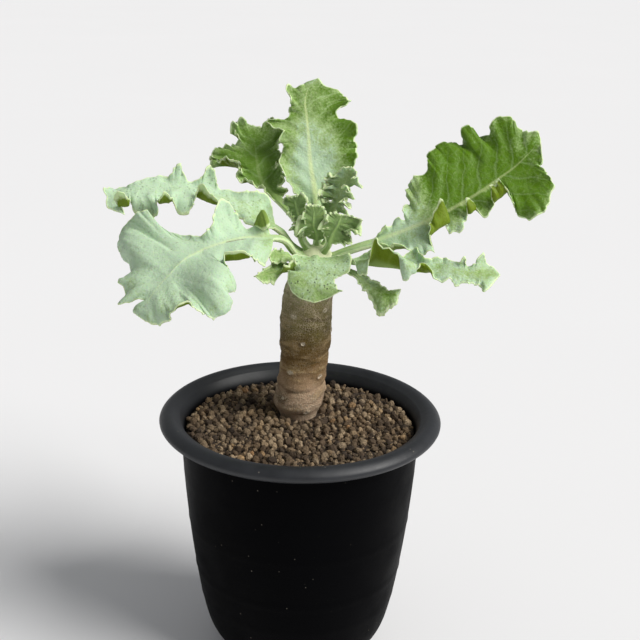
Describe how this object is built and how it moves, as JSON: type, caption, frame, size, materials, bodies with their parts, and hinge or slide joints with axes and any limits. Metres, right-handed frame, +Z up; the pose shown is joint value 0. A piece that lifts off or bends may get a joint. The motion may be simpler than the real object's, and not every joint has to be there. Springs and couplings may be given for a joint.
{
  "type": "potted othonna cyclophylla",
  "caption": "Small caudex succulent with a stout corky stem and one rosette of broad wavy leaves, in a plain round flared pot of grit.",
  "frame": {"origin": "centre of the pot's flat base, on the surface that it stands on", "axes": "+Z up along the pot's axis; -Y towards the viewer, the rosette's open front; +X to the viewer's right"},
  "size_m": [0.1814, 0.1192, 0.2456],
  "materials": {
    "pot": "matte black, moulded, with a faint sheen on the rim",
    "soil": "dry fine brown grit",
    "stem": "rough, ringed, corky bark",
    "pale_leaf": "waxy, pale grey-green",
    "fresh_leaf": "waxy, fresh green",
    "dark_leaf": "waxy, deep green"
  },
  "bodies": {
    "root": {"pot": "pot", "soil": "soil", "stem": "stem", "leaf_front_left": "pale_leaf", "leaf_left": "pale_leaf", "leaf_back_left": "dark_leaf", "leaf_back": "fresh_leaf", "leaf_right": "fresh_leaf", "leaf_front_right": "pale_leaf", "leaf_small_right": "fresh_leaf", "leaf_front": "pale_leaf", "leaf_small_left": "dark_leaf", "leaf_shaded": "dark_leaf", "leaf_young_right": "fresh_leaf", "leaf_young_left": "dark_leaf", "leaf_young_back": "pale_leaf", "leaf_tip": "pale_leaf"}
  },
  "joints": []
}
